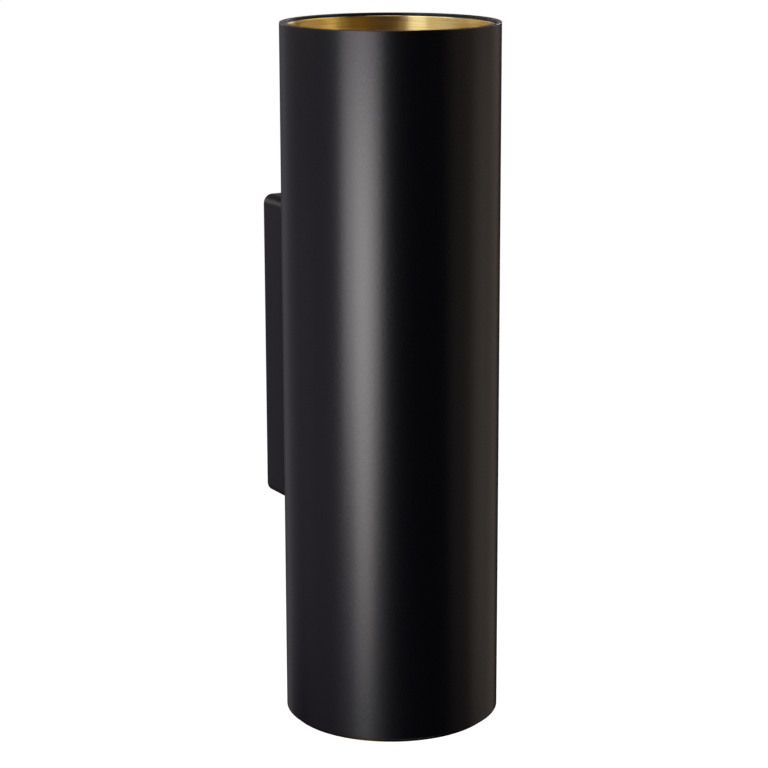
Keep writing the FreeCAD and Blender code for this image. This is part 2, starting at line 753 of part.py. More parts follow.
def bent_rod(points, bends, diameter):
    """A round rod along straight runs joined by arcs, one bend radius for each inner point."""
    edges = []
    start = points[0]
    for before, corner, after, bend in zip(points, points[1:], points[2:], bends):
        back, ahead = (before - corner).normalize(), (after - corner).normalize()
        turned = math.pi - back.getAngle(ahead)
        reach = bend * math.tan(turned / 2)
        into, out_of = corner + back * reach, corner + ahead * reach
        inward = (back + ahead).normalize()
        nearest = corner + inward * (bend / math.cos(turned / 2) - bend)
        edges.append(Part.LineSegment(start, into).toShape())
        edges.append(Part.Arc(into, nearest, out_of).toShape())
        start = out_of
    edges.append(Part.LineSegment(start, points[-1]).toShape())
    path = Part.Wire(edges)
    circle = Part.Circle(points[0], points[1] - points[0], diameter / 2)
    rod = path.makePipeShell([Part.Wire(circle.toShape())], True, False)
    expected = math.pi * diameter**2 / 4 * path.Length
    if abs(rod.Volume / expected - 1) > 0.01:
        raise RuntimeError("a lead's volume differs from its section times its length")
    return rod


def make_lamp_leads(side):
    """Two leads from a lampholder, through the nipple, to the outer poles of the terminal."""
    sign = 1 if side == "upper" else -1
    axis = size("box_depth") + size("tube_diameter") / 2
    floor = size("shelf_spacing") / 2 + size("holder_floor")
    offset, diameter, bend = size("lead_offset"), size("lead_diameter"), size("lead_bend")
    bore_out = size("bracket_wall") + size("terminal_bore_out")
    out = bore_out - sign * 0.55 * diameter
    block_top = size("terminal_height") / 2 - size("terminal_down")
    pin, pole = size("pin_spacing") / 2, size("terminal_pitch")
    rods = []
    for across in (-1, 1):
        points = [
            Vector(across * pin, -axis, sign * floor),
            Vector(across * pin, -axis, sign * offset),
            Vector(across * offset, -axis + size("shelf_spacing") / 3, sign * offset),
            Vector(across * offset, -out, sign * offset),
            Vector(across * pole, -out, block_top + size("terminal_height") / 2),
            Vector(across * pole, -out, size("lead_end") - size("terminal_down")),
        ]
        rods.append(bent_rod(points, [size("lead_bend_wide"), size("lead_bend_wide"), bend, bend], diameter))
    leads = doc.addObject("Part::Feature", f"leads_{side}")
    leads.Shape = Part.makeCompound(rods)
    piece(leads, f"leads_{side}")


def make_earth_lead():
    diameter = size("lead_diameter")
    bore_out = size("bracket_wall") + size("terminal_bore_out")
    barrel_out = size("bracket_wall") + size("lug_barrel_diameter") / 2
    block_top = size("terminal_height") / 2 - size("terminal_down")
    barrel_top = size("earth_up") - size("lug_diameter") / 2 - size("lug_neck")
    barrel_foot = barrel_top - size("lug_barrel_length")
    slope_start = block_top + size("terminal_height") / 4
    points = [
        Vector(0, -bore_out, size("lead_end") - size("terminal_down")),
        Vector(0, -bore_out, slope_start),
        Vector(0, -barrel_out, (slope_start + barrel_foot) / 2),
        Vector(0, -barrel_out, barrel_top - size("lug_neck") / 2),
    ]
    lead = doc.addObject("Part::Feature", "earth_lead")
    lead.Shape = bent_rod(points, [size("lead_bend"), size("lead_bend")], diameter)
    piece(lead, "earth_lead")


def check_and_write():
    doc.recompute()
    for thing in doc.Objects:
        if "Invalid" in thing.State or "Error" in thing.State:
            raise RuntimeError(f"{thing.Name} ({thing.Label}) is {thing.State}")
    for one in pieces:
        if one.Shape.isNull() or not one.Shape.isValid() or not one.Shape.Solids:
            raise RuntimeError(f"{one.Label} has no valid solid")
    os.makedirs("parts", exist_ok=True)
    for one in pieces:
        one.Shape.exportStep(f"parts/{one.Label}.step")
        print(one.Label, len(one.Shape.Solids), "solids", round(one.Shape.Volume, 1), "mm3")


fill_sheet()
make_tube("outer_tube", "tube_diameter", "tube_wall", "tube_length", "tube_rim_round", "tube_drop", TUBE_AXIS)
make_tube("brass_liner", LINER_DIAMETER, "liner_wall", "liner_length", "liner_rim_round", LINER_DROP, LINER_AXIS)
make_wall_box()
make_box_screws()
make_wall_bracket()
make_grommet()
make_terminal_block()
make_terminal_clamps()
make_terminal_screws()
make_terminal_block_screws()
make_earthing()
make_earth_lead()
make_nipple()
make_nipple_nuts()
make_bushes()
make_fixing_screws()
make_saddle()
make_lamp_bracket()
for lamp_side in ("upper", "lower"):
    make_lampholder(lamp_side)
    make_contacts(lamp_side)
    make_holder_screws(lamp_side)
    make_lamp(lamp_side)
    make_lamp_leads(lamp_side)
check_and_write()
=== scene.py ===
import json
import math

import bmesh
import bpy
from mathutils import Matrix, Vector


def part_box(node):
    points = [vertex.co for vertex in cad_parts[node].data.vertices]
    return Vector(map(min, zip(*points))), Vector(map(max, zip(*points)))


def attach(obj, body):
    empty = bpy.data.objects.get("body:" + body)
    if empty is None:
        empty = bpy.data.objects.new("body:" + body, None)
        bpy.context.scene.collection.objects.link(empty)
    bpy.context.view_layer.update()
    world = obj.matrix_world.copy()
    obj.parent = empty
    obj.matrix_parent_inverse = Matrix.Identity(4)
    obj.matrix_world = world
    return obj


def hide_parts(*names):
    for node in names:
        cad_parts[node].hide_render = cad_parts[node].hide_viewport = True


# tube wall light: a black tube lined with brass, on a wall box, with one lamp up and one down
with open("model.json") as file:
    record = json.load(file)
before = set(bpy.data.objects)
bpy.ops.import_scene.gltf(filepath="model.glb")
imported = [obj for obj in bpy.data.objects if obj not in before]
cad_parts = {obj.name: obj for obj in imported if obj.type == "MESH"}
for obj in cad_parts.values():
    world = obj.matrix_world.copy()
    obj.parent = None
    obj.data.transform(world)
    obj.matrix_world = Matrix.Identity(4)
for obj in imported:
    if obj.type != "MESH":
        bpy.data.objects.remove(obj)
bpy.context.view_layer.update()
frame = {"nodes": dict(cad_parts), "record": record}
print("frame loaded,", len(frame["nodes"]), "nodes")

mm = 0.001
bodyOf = {"upper": "upper_lamp", "lower": "lower_lamp"}
slotOf = {row["node"]: row["material_slot"] for row in frame["record"]["subparts"]}


# colours and nodes

def colour(hexCode):
    parts = [int(hexCode[i:i + 2], 16) / 255 for i in (1, 3, 5)]
    return [c / 12.92 if c <= 0.04045 else ((c + 0.055) / 1.055) ** 2.4 for c in parts] + [1.0]


def setInputs(tree, node, inputs):
    # an input is a plain value, a socket to link, or a node whose first output is linked
    for socket, value in inputs.items():
        if isinstance(value, bpy.types.Node):
            value = value.outputs[0]
        if isinstance(value, bpy.types.NodeSocket):
            tree.links.new(value, node.inputs[socket])
        else:
            node.inputs[socket].default_value = value


def addNode(tree, kind, inputs=None, stops=(), **settings):
    # stops are the two ends of a colour ramp, each a place and a colour
    made = tree.nodes.new(kind)
    for name, value in settings.items():
        setattr(made, name, value)
    setInputs(tree, made, inputs or {})
    for end, (place, hexCode) in enumerate(stops):
        made.color_ramp.elements[end].position = place
        made.color_ramp.elements[end].color = colour(hexCode)
    return made


def newMaterial(name, fixed):
    material = bpy.data.materials.new(name)
    material.use_nodes = True
    tree = material.node_tree
    shader = tree.nodes["Principled BSDF"]
    setInputs(tree, shader, fixed)
    return material, tree, shader


print("helpers ready")


# materials

powderCoat = {
    "tones": [(0.35, "#050409"), (0.65, "#08070c")],
    "tube": {"roughness": (0.26, 0.30), "gloss": 0.5},
    "box": {"roughness": (0.40, 0.46), "gloss": 0.3},  # the powder lies drier on it
    "grain": 0.5 * mm,  # fused powder grains, drawn coarser than the real 0.1 mm so that they show
    "grainDepth": 0.002 * mm,
    "flow": 1.8 * mm,  # orange peel left by the melt
    "flowDepth": 0.014 * mm,
}


def makePowderCoat(name, look):
    # polyester powder, sprayed and baked on steel: satin black, with a soft broad highlight that shows
    # a fine grain
    size = powderCoat
    material, tree, shader = newMaterial(name, {"Specular IOR Level": look["gloss"]})
    place = addNode(tree, "ShaderNodeTexCoord").outputs["Object"]
    grain = addNode(tree, "ShaderNodeTexNoise", {"Vector": place, "Scale": 1 / size["grain"], "Detail": 2})
    flow = addNode(tree, "ShaderNodeTexNoise", {"Vector": place, "Scale": 1 / size["flow"], "Detail": 1})
    low, high = look["roughness"]
    rolling = addNode(tree, "ShaderNodeBump", {"Height": flow, "Distance": size["flowDepth"]})
    setInputs(tree, shader, {
        "Base Color": addNode(tree, "ShaderNodeValToRGB", {"Fac": grain}, size["tones"]),
        "Roughness": addNode(tree, "ShaderNodeMapRange", {"Value": grain, "To Min": low, "To Max": high}),
        "Normal": addNode(tree, "ShaderNodeBump",
                          {"Height": grain, "Distance": size["grainDepth"], "Normal": rolling}),
    })
    return material


brass = {
    "tones": [(0.3, "#cfac60"), (0.7, "#f6dfa0")],
    "dull": "#2c2112",  # painted shade: its outer face is coloured dark to stand in for the dark surroundings it reflects
    "shadedOuterSkin": 0.02 * mm,  # what lies this near its outer radius gets the painted shade
    "roughness": (0.27, 0.33),
    "brushing": 0.85,  # how far the highlights stretch
    "lacquer": 0.6,
    "lacquerRoughness": 0.12,
    "line": 0.35 * mm,  # brush lines, coarser than the real 0.1 mm so that they show
    "lineLength": 30 * mm,
    "depth": 0.004 * mm,
}


def makeBrushedBrass():
    # rolled brass sheet, brushed round the tube and lacquered: the lines run round it, so highlights
    # stretch along its axis
    size = brass
    material, tree, shader = newMaterial("brushedBrassLacquered", {
        "Metallic": 1.0,
        "Anisotropic": size["brushing"],
        "Anisotropic Rotation": 0.25,  # a quarter turn
        "Coat Weight": size["lacquer"],
        "Coat Roughness": size["lacquerRoughness"],
    })
    low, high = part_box("brass_liner")
    radius, axisY = high.x, (low.y + high.y) / 2
    place = addNode(tree, "ShaderNodeTexCoord").outputs["Object"]
    parts = addNode(tree, "ShaderNodeSeparateXYZ", {"Vector": place}).outputs
    out = addNode(tree, "ShaderNodeMath", {0: parts["Y"], 1: axisY}, operation="SUBTRACT")
    angle = addNode(tree, "ShaderNodeMath", {0: out, 1: parts["X"]}, operation="ARCTAN2")
    stretch = radius * size["line"] / size["lineLength"]
    run = addNode(tree, "ShaderNodeMath", {0: angle, 1: stretch}, operation="MULTIPLY")
    brushed = addNode(tree, "ShaderNodeCombineXYZ", {"X": run, "Z": parts["Z"]})
    lines = addNode(tree, "ShaderNodeTexNoise",
                    {"Vector": brushed, "Scale": 1 / size["line"], "Detail": 4, "Roughness": 0.6})
    polished = addNode(tree, "ShaderNodeValToRGB", {"Fac": lines}, size["tones"])
    flat = addNode(tree, "ShaderNodeCombineXYZ", {"X": parts["X"], "Y": out})
    away = addNode(tree, "ShaderNodeVectorMath", {0: flat}, operation="LENGTH").outputs["Value"]
    # the outer face takes a dark tone, painted shade for the dark surroundings it reflects
    outer = addNode(tree, "ShaderNodeMath", {0: away, 1: radius - size["shadedOuterSkin"]}, operation="GREATER_THAN")
    tone = addNode(tree, "ShaderNodeMix", {0: outer, 6: polished, 7: colour(size["dull"])}, data_type="RGBA")
    low, high = size["roughness"]
    setInputs(tree, shader, {
        "Base Color": tone.outputs[2],
        "Roughness": addNode(tree, "ShaderNodeMapRange", {"Value": lines, "To Min": low, "To Max": high}),
        "Normal": addNode(tree, "ShaderNodeBump", {"Height": lines, "Distance": size["depth"]}),
        "Tangent": addNode(tree, "ShaderNodeTangent", direction_type="RADIAL", axis="Z"),
    })
    return material


zinc = {
    "tones": [(0.3, "#868b92"), (0.7, "#b9bec4")],
    "bloomTones": [(0.35, "#a9b3c4"), (0.65, "#c4bfa4")],  # bluish where the film is thin, straw where thick
    "bloom": 0.45,
    "bloomPatch": 9 * mm,
    "roughness": (0.26, 0.4),
    "line": 0.4 * mm,  # rolling lines of the strip under the plating
    "squeeze": (1, 1, 0.04),  # runs the lines 25 times as long upright
    "depth": 0.005 * mm,
}


def makeZinc():
    # cold-rolled steel strip, pressed and zinc plated: cool grey, with faint rolling lines and a thin
    # straw and blue bloom
    size = zinc
    material, tree, shader = newMaterial("steelZincPlated", {"Metallic": 1.0})
    place = addNode(tree, "ShaderNodeTexCoord").outputs["Object"]
    squeezed = addNode(tree, "ShaderNodeMapping", {"Vector": place, "Scale": size["squeeze"]})
    lines = addNode(tree, "ShaderNodeTexNoise",
                    {"Vector": squeezed, "Scale": 1 / size["line"], "Detail": 3, "Roughness": 0.6})
    film = addNode(tree, "ShaderNodeTexNoise",
                   {"Vector": place, "Scale": 1 / size["bloomPatch"], "Detail": 2})
    steel = addNode(tree, "ShaderNodeValToRGB", {"Fac": lines}, size["tones"])
    bloom = addNode(tree, "ShaderNodeValToRGB", {"Fac": film}, size["bloomTones"])
    tone = addNode(tree, "ShaderNodeMix", {0: size["bloom"], 6: steel, 7: bloom}, data_type="RGBA")
    low, high = size["roughness"]
    setInputs(tree, shader, {
        "Base Color": tone.outputs[2],
        "Roughness": addNode(tree, "ShaderNodeMapRange", {"Value": lines, "To Min": low, "To Max": high}),
        "Normal": addNode(tree, "ShaderNodeBump", {"Height": lines, "Distance": size["depth"]}),
    })
    return material


waveRun = math.pi / 5  # a diagonal wave of scale 1 repeats after this length along any axis

earthSleeve = {
    "tones": [(0.48, "#1f7a34"), (0.56, "#e3c81f")],
    "stripe": 3.77 * mm,
    "roughness": 0.42,
    "grain": 0.4 * mm,
    "depth": 0.004 * mm,
}


def makeEarthSleeve():
    # extruded PVC in two colours: green with a yellow stripe that winds round it
    size = earthSleeve
    material, tree, shader = newMaterial("pvcGreenYellow", {"Roughness": size["roughness"]})
    place = addNode(tree, "ShaderNodeTexCoord").outputs["Object"]
    bands = addNode(tree, "ShaderNodeTexWave", {"Vector": place, "Scale": waveRun / size["stripe"]},
                    bands_direction="DIAGONAL")
    grain = addNode(tree, "ShaderNodeTexNoise", {"Vector": place, "Scale": 1 / size["grain"], "Detail": 3})
    setInputs(tree, shader, {
        "Base Color": addNode(tree, "ShaderNodeValToRGB", {"Fac": bands.outputs["Fac"]}, size["tones"]),
        "Normal": addNode(tree, "ShaderNodeBump", {"Height": grain, "Distance": size["depth"]}),
    })
    return material


braid = {
    "tones": [(0.2, "#b9b3a4"), (0.8, "#efebe0")],
    "strands": 1.42 * mm,  # a pair of strands, drawn twice as wide as real ones so that they show
    "lean": 0.8,
    "roughness": 0.62,
    "depth": 0.05 * mm,
}


def makeBraid():
    # glass-fibre sleeve braided over silicone, for heat: off-white, matt, with crossing strands, and painted
    # shade darkening the dips between them
    size = braid
    material, tree, shader = newMaterial("glassFibreBraid", {"Roughness": size["roughness"]})
    place = addNode(tree, "ShaderNodeTexCoord").outputs["Object"]
    heights = []
    for lean in (size["lean"], -size["lean"]):
        leant = addNode(tree, "ShaderNodeMapping", {"Vector": place, "Scale": (1, 1, lean)})
        strands = addNode(tree, "ShaderNodeTexWave", {"Vector": leant, "Scale": waveRun / size["strands"]},
                          bands_direction="DIAGONAL")
        heights.append(strands.outputs["Fac"])
    crossing = addNode(tree, "ShaderNodeMath", {0: heights[0], 1: heights[1]}, operation="MAXIMUM")
    setInputs(tree, shader, {
        # the tone follows the strand height, so the dips between strands are darker: painted shade
        "Base Color": addNode(tree, "ShaderNodeValToRGB", {"Fac": crossing}, size["tones"]),
        "Normal": addNode(tree, "ShaderNodeBump", {"Height": crossing, "Distance": size["depth"]}),
    })
    return material


fine, coarse = 0.3 * mm, 0.5 * mm  # grains, drawn no finer than this so that they show
metal = {"Metallic": 1.0}
grainsPerPatch = 12
plainFinishes = {
    # black oxide on machined steel, oiled: darker and shinier than the coat round it
    "black_steel_screws": {
        "name": "steelBlackOxide", "tones": ("#18181a", "#262629"), "roughness": (0.28, 0.42),
        "grain": fine, "depth": 0.004 * mm, "fixed": metal,
    },
    # moulded rubber: dull black with a grey bloom
    "black_rubber": {
        "name": "rubberMoulded", "tones": ("#131313", "#222221"), "roughness": (0.6, 0.78),
        "grain": fine, "depth": 0.01 * mm, "fixed": {},
    },
    # injection-moulded polyamide: warm white, slightly waxy
    "white_polyamide": {
        "name": "polyamideMoulded", "tones": ("#d9d5ca", "#e8e5dc"), "roughness": (0.36, 0.5),
        "grain": fine, "depth": 0.005 * mm, "fixed": {"Subsurface Weight": 0.1, "Subsurface Scale": 2 * mm},
    },
    # turned brass, left bare: pale gold with faint tool marks
    "terminal_brass": {
        "name": "brassTurned", "tones": ("#c19c52", "#dcbd78"), "roughness": (0.2, 0.34),
        "grain": fine, "depth": 0.003 * mm, "fixed": metal,
    },
    # copper strip, hot tinned: soft silver
    "tinned_copper": {
        "name": "copperTinned", "tones": ("#b3b1aa", "#d3d1ca"), "roughness": (0.22, 0.38),
        "grain": fine, "depth": 0.004 * mm, "fixed": metal,
    },
    # moulded nylon: black, a little oily
    "black_nylon": {
        "name": "nylonMoulded", "tones": ("#131314", "#1f1f21"), "roughness": (0.4, 0.55),
        "grain": fine, "depth": 0.004 * mm, "fixed": {},
    },
    # die-cast aluminium, tumbled: light grey with a sandy skin
    "cast_aluminium": {
        "name": "aluminiumDieCast", "tones": ("#96989b", "#b8babd"), "roughness": (0.38, 0.54),
        "grain": coarse, "depth": 0.012 * mm, "fixed": metal,
    },
    # steatite, pressed and glazed: warm white with a wet gloss over it
    "white_ceramic": {
        "name": "steatiteGlazed", "tones": ("#ddd8cc", "#efebe2"), "roughness": (0.3, 0.42),
        "grain": coarse, "depth": 0.006 * mm, "fixed": {"Coat Weight": 0.6, "Coat Roughness": 0.08},
    },
    # polycarbonate, moulded with a fine eroded skin: cool white
    "lamp_plastic": {
        "name": "polycarbonateWhite", "tones": ("#dddfdf", "#eceeee"), "roughness": (0.38, 0.5),
        "grain": fine, "depth": 0.006 * mm, "fixed": {},
    },
    # frosted polycarbonate: milky, glossy on the lens domes
    "lamp_diffuser": {
        "name": "polycarbonateFrosted", "tones": ("#e4e7e8", "#f4f6f6"), "roughness": (0.16, 0.24),
        "grain": coarse, "depth": 0.002 * mm,
        "fixed": {"Subsurface Weight": 0.25, "Subsurface Scale": 2 * mm, "IOR": 1.58},
    },
    # brass pins, nickel plated: warm bright silver
    "nickel_plated_pins": {
        "name": "brassNickelPlated", "tones": ("#b9b3a6", "#d2ccbf"), "roughness": (0.14, 0.24),
        "grain": fine, "depth": 0.002 * mm, "fixed": metal,
    },
}


def makePlain(size):
    # a fine grain over slow patches of tone
    material, tree, shader = newMaterial(size["name"], size["fixed"])
    place = addNode(tree, "ShaderNodeTexCoord").outputs["Object"]
    grain = addNode(tree, "ShaderNodeTexNoise", {"Vector": place, "Scale": 1 / size["grain"], "Detail": 3})
    slow = 1 / (grainsPerPatch * size["grain"])
    patches = addNode(tree, "ShaderNodeTexNoise", {"Vector": place, "Scale": slow, "Detail": 2})
    stops = list(zip((0.35, 0.65), size["tones"]))
    low, high = size["roughness"]
    setInputs(tree, shader, {
        "Base Color": addNode(tree, "ShaderNodeValToRGB", {"Fac": patches}, stops),
        "Roughness": addNode(tree, "ShaderNodeMapRange", {"Value": grain, "To Min": low, "To Max": high}),
        "Normal": addNode(tree, "ShaderNodeBump", {"Height": grain, "Distance": size["depth"]}),
    })
    return material


finishes = {slot: makePlain(size) for slot, size in plainFinishes.items()}
finishes["black_powder_coat"] = makePowderCoat("powderCoatedSteelSatinBlack", powderCoat["tube"])
finishes["brushed_brass"] = makeBrushedBrass()
finishes["zinc_plated_steel"] = makeZinc()
finishes["earth_insulation"] = makeEarthSleeve()
finishes["lead_insulation"] = makeBraid()
for nodeName, piece in frame["nodes"].items():
    for slot in piece.material_slots:
        slot.material = finishes[slotOf[nodeName]]
print("materials ready,", len(finishes))


# pieces

def newObject(name, data):
    made = bpy.data.objects.new(name, data)
    bpy.context.scene.collection.objects.link(made)
    return made


def plainPiece(name, shape, finish):
    # an object of a bmesh, which is used up
    mesh = bpy.data.meshes.new(name)
    shape.to_mesh(mesh)
    shape.free()
    mesh.materials.append(finish)
    return newObject(name, mesh)


def settle(piece):
    # leaves the piece as its modifiers show it, without them
    piece.modifiers.new("even", "WEIGHTED_NORMAL")
    piece.data = bpy.data.meshes.new_from_object(piece.evaluated_get(bpy.context.evaluated_depsgraph_get()))
    piece.modifiers.clear()
    piece.data.name = piece.name


def geometryTree(name, defaults):
    kinds = {float: "NodeSocketFloat", int: "NodeSocketInt", tuple: "NodeSocketVector"}
    tree = bpy.data.node_groups.new(name, "GeometryNodeTree")
    tree.interface.new_socket("Geometry", in_out="OUTPUT", socket_type="NodeSocketGeometry")
    for label, value in defaults.items():
        kind = kinds[type(value)]
        tree.interface.new_socket(label, in_out="INPUT", socket_type=kind).default_value = value
    tree.interface.new_socket("Finish", in_out="INPUT", socket_type="NodeSocketMaterial")
    return tree, tree.nodes.new("NodeGroupInput").outputs, tree.nodes.new("NodeGroupOutput")


def fromTree(name, tree, values, edge=0):
    # runs a geometry tree on an empty mesh and keeps the result as a plain mesh
    carrier = newObject(name + "Carrier", bpy.data.meshes.new(name + "Carrier"))
    modifier = carrier.modifiers.new("shape", "NODES")
    modifier.node_group = tree
    for item in tree.interface.items_tree:
        if item.in_out == "INPUT":
            modifier[item.identifier] = values[item.name]
    if edge:
        rounding = carrier.modifiers.new("edge", "BEVEL")
        rounding.width, rounding.segments, rounding.limit_method = edge, 2, "ANGLE"
    carrier.modifiers.new("even", "WEIGHTED_NORMAL")
    evaluated = carrier.evaluated_get(bpy.context.evaluated_depsgraph_get())
    mesh = bpy.data.meshes.new_from_object(evaluated)
    mesh.name = name
    bpy.data.objects.remove(carrier)
    mesh.materials.clear()
    mesh.materials.append(values["Finish"])
    return newObject(name, mesh)


def makeTubeTree():
    # a rounded wall section carried round a circle
    tree, given, out = geometryTree("tubeShape", {
        "Radius": 0.05, "Wall": 0.002, "Length": 0.3, "Rim": 0.0004, "Rim Steps": 5, "Steps": 256,
        "Place": (0.0, 0.0, 0.0),
    })
    halfWall = addNode(tree, "ShaderNodeMath", {0: given["Wall"], 1: 2}, operation="DIVIDE")
    middle = addNode(tree, "ShaderNodeMath", {0: given["Radius"], 1: halfWall}, operation="SUBTRACT")
    path = addNode(tree, "GeometryNodeCurvePrimitiveCircle", {"Resolution": given["Steps"], "Radius": middle})
    section = addNode(tree, "GeometryNodeCurvePrimitiveQuadrilateral",
                      {"Width": given["Wall"], "Height": given["Length"]})
    soft = addNode(tree, "GeometryNodeFilletCurve",
                   {"Curve": section, "Radius": given["Rim"], "Count": given["Rim Steps"]}, mode="POLY")
    wall = addNode(tree, "GeometryNodeCurveToMesh", {"Curve": path, "Profile Curve": soft})
    moved = addNode(tree, "GeometryNodeTransform", {"Geometry": wall, "Translation": given["Place"]})
    smooth = addNode(tree, "GeometryNodeSetShadeSmooth", {0: moved})
    real = addNode(tree, "GeometryNodeRealizeInstances", {0: smooth})
    done = addNode(tree, "GeometryNodeSetMaterial", {"Geometry": real, "Material": given["Finish"]})
    setInputs(tree, out, {0: done})
    return tree


tube = {"wall": 2 * mm, "rim": 0.4 * mm, "rimSteps": 5, "steps": 256}
liner = {"wall": 1 * mm, "rim": 0.4 * mm, "rimSteps": 5, "steps": 256}


def makeTube(name, node, size, finish, tree):
    low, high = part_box(node)
    piece = fromTree(name, tree, {
        "Radius": (high.x - low.x) / 2,
        "Wall": size["wall"],
        "Length": high.z - low.z,
        "Rim": size["rim"],
        "Rim Steps": size["rimSteps"],
        "Steps": size["steps"],
        "Place": (low + high) / 2,
        "Finish": finish,
    })
    shape = bmesh.new()
    shape.from_mesh(piece.data)
    bmesh.ops.recalc_face_normals(shape, faces=shape.faces)
    shape.to_mesh(piece.data)
    shape.free()
    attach(piece, "fixture")
    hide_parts(node)
    return piece


tubeTree = makeTubeTree()
blackTube = makeTube("blackTube", "outer_tube", tube, finishes["black_powder_coat"], tubeTree)
brassTube = makeTube("brassTube", "brass_liner", liner, finishes["brushed_brass"], tubeTree)
print("tubes made")


weld = 0.0001 * mm  # points closer than this are one

box = {
    "wall": 1.6 * mm,
    "corner": 4.5 * mm,
    "cornerSteps": 10,
    "edge": 0.8 * mm,
    "edgeSteps": 6,
}


def roundedOutline(halfWide, halfTall, radius, steps):
    points = []
    for quarter in range(4):
        across, up = ((1, 1), (-1, 1), (-1, -1), (1, -1))[quarter]
        for step in range(steps + 1):
            turn = math.pi / 2 * (quarter + step / steps)
            points.append((across * (halfWide - radius) + radius * math.cos(turn),
                           up * (halfTall - radius) + radius * math.sin(turn)))
    return points


def skin(shape, loops):
    # joins loops of as many points each into a skin
    rings = [[shape.verts.new(point) for point in loop] for loop in loops]
    for first, second in zip(rings, rings[1:]):
        for i in range(len(first)):
            after = (i + 1) % len(first)
            shape.faces.new((first[i], first[after], second[after], second[i]))
    return rings


def finished(name, shape, finish, thickness=0):
    # turns a bmesh into a shaded piece, with walls if it has a thickness
    bmesh.ops.remove_doubles(shape, verts=shape.verts, dist=weld)
    bmesh.ops.recalc_face_normals(shape, faces=shape.faces)
    for face in shape.faces:
        face.smooth = True
    piece = plainPiece(name, shape, finish)
    if thickness:
        wall = piece.modifiers.new("wall", "SOLIDIFY")
        wall.thickness, wall.offset, wall.use_even_offset = thickness, -1, True
    settle(piece)
    return piece


def makeWallBox():
    # pressed steel box, open to the wall
    low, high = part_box("wall_box")
    middle, half = (low + high) / 2, (high - low) / 2
    rows = [(0, high.y)]
    for step in range(box["edgeSteps"] + 1):
        turn = math.pi / 2 * step / box["edgeSteps"]
        rows.append((box["edge"] * (1 - math.cos(turn)), low.y + box["edge"] * (1 - math.sin(turn))))
    loops = []
    for inset, out in rows:
        outline = roundedOutline(half.x - inset, half.z - inset, box["corner"] - inset, box["cornerSteps"])
        loops.append([(middle.x + x, out, middle.z + z) for x, z in outline])
    shape = bmesh.new()
    rings = skin(shape, loops)
    shape.faces.new(rings[-1])
    coat = makePowderCoat("powderCoatedSteelMattBlack", powderCoat["box"])
    piece = finished("wallBox", shape, coat, box["wall"])
    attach(piece, "fixture")
    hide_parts("wall_box")


makeWallBox()
print("wall box made")


def rounded(corners, radius, steps=3):
    # a profile of (out, up) with its corners rounded
    soft = [corners[0]]
    for before, corner, after in zip(corners, corners[1:], corners[2:]):
        here, back, ahead = Vector(corner), Vector(before) - Vector(corner), Vector(after) - Vector(corner)
        reach = min(radius, back.length / 2, ahead.length / 2)
        start, end = here + back.normalized() * reach, here + ahead.normalized() * reach
        for step in range(steps + 1):
            share = step / steps
            soft.append(tuple((1 - share) ** 2 * start + 2 * share * (1 - share) * here + share ** 2 * end))
    return soft + [corners[-1]]


def makeTurned(name, size, place, flip, finish):
    # a profile turned round an upright axis through place; flip is -1 where it hangs
    loops = []
    for out, up in rounded([(out * mm, up * mm) for out, up in size["profile"]], size["round"]):
        turns = [2 * math.pi * step / size["steps"] for step in range(size["steps"])]
        loops.append([(place.x + out * math.cos(turn), place.y + out * math.sin(turn), place.z + flip * up)
                      for turn in turns])
    shape = bmesh.new()
    rings = skin(shape, loops)
    shape.faces.new(rings[0])
    shape.faces.new(rings[-1])
    return finished(name, shape, finish)


def makeFinTree():
    # thin ribs stood round a cone
    tree, given, out = geometryTree("finRing", {
        "Count": 24, "Fin": (0.0, 0.0, 0.0), "Middle": (0.0, 0.0, 0.0), "Slope": 0.0,
        "Turn": (0.0, 0.0, 0.0), "Place": (0.0, 0.0, 0.0),
    })
    fin = addNode(tree, "GeometryNodeMeshCube", {"Size": given["Fin"]})
    lean = addNode(tree, "ShaderNodeCombineXYZ", {"Y": given["Slope"]})
    leant = addNode(tree, "GeometryNodeTransform",
                    {"Geometry": fin, "Translation": given["Middle"], "Rotation": lean})
    points = addNode(tree, "GeometryNodeMeshLine", {"Count": given["Count"], "Offset": (0, 0, 0)})
    index = addNode(tree, "GeometryNodeInputIndex")
    share = addNode(tree, "ShaderNodeMath", {0: index, 1: given["Count"]}, operation="DIVIDE")
    angle = addNode(tree, "ShaderNodeMath", {0: share, 1: 2 * math.pi}, operation="MULTIPLY")
    spin = addNode(tree, "ShaderNodeCombineXYZ", {"Z": angle})
    stood = addNode(tree, "GeometryNodeInstanceOnPoints",
                    {"Points": points, "Instance": leant, "Rotation": spin})
    moved = addNode(tree, "GeometryNodeTransform",
                    {"Geometry": stood, "Translation": given["Place"], "Rotation": given["Turn"]})
    real = addNode(tree, "GeometryNodeRealizeInstances", {0: moved})
    done = addNode(tree, "GeometryNodeSetMaterial", {"Geometry": real, "Material": given["Finish"]})
    setInputs(tree, out, {0: done})
    return tree


